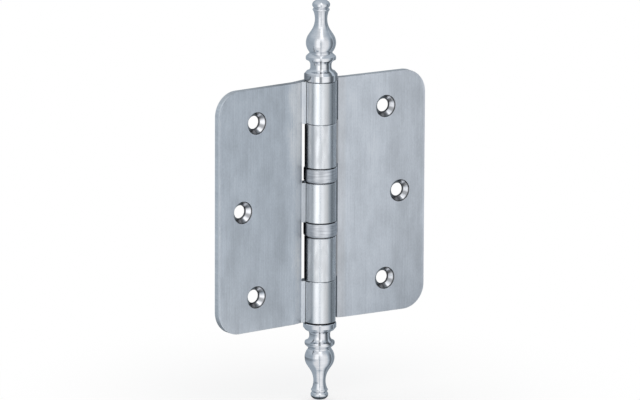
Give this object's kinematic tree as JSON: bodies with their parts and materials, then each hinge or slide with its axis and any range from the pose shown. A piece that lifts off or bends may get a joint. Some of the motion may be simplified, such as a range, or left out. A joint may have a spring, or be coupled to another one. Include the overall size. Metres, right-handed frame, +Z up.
{
  "type": "ball bearing hinge",
  "caption": "Full-mortise butt hinge: two radius-corner leaves with countersunk screw holes, a rolled-knuckle barrel with ball bearing rings and turned steeple tips.",
  "frame": {"origin": "on the pin axis at mid-height of the barrel", "axes": "+Z up the pin, frame leaf along -X with its countersunk face towards -Y, door leaf along +X turned 6 degrees towards -Y"},
  "size_m": [0.1017, 0.0138, 0.1691],
  "materials": {
    "satin_steel": "satin, brushed along the barrel",
    "turned_steel": "fine turned, rings round the axis",
    "polished_steel": "bright turned and polished",
    "pin_steel": "ground",
    "hardened_steel": "hardened and ground",
    "cage_steel": "pressed sheet",
    "ball_steel": "polished"
  },
  "bodies": {
    "frame_side": {"frame_leaf": "satin_steel", "hinge_pin": "pin_steel", "upper_tip": "polished_steel", "lower_tip": "polished_steel", "upper_casing": "turned_steel", "upper_race_below": "hardened_steel", "lower_casing": "turned_steel", "lower_race_above": "hardened_steel"},
    "door_side": {"door_leaf": "satin_steel", "upper_race_above": "hardened_steel", "lower_race_below": "hardened_steel"},
    "upper_balls": {"upper_ball_cage": "cage_steel", "upper_ball_1": "ball_steel", "upper_ball_2": "ball_steel", "upper_ball_3": "ball_steel", "upper_ball_4": "ball_steel", "upper_ball_5": "ball_steel", "upper_ball_6": "ball_steel", "upper_ball_7": "ball_steel", "upper_ball_8": "ball_steel", "upper_ball_9": "ball_steel", "upper_ball_10": "ball_steel"},
    "lower_balls": {"lower_ball_cage": "cage_steel", "lower_ball_1": "ball_steel", "lower_ball_2": "ball_steel", "lower_ball_3": "ball_steel", "lower_ball_4": "ball_steel", "lower_ball_5": "ball_steel", "lower_ball_6": "ball_steel", "lower_ball_7": "ball_steel", "lower_ball_8": "ball_steel", "lower_ball_9": "ball_steel", "lower_ball_10": "ball_steel"}
  },
  "joints": [
    {"name": "door_swing", "type": "hinge", "parent": "frame_side", "child": "door_side", "pos_m": [0, 0, 0], "axis": [0, 0, 1], "range_deg": [-174, 120]},
    {"name": "upper_balls_roll", "type": "hinge", "parent": "frame_side", "child": "upper_balls", "pos_m": [0, 0, 0.0114], "axis": [0, 0, 1], "range_deg": [-87, 60]},
    {"name": "lower_balls_roll", "type": "hinge", "parent": "frame_side", "child": "lower_balls", "pos_m": [0, 0, -0.0114], "axis": [0, 0, 1], "range_deg": [-87, 60]}
  ],
  "couplings": [
    {"joint": "upper_balls_roll", "follows": "door_swing", "ratio": 0.5},
    {"joint": "lower_balls_roll", "follows": "door_swing", "ratio": 0.5}
  ]
}
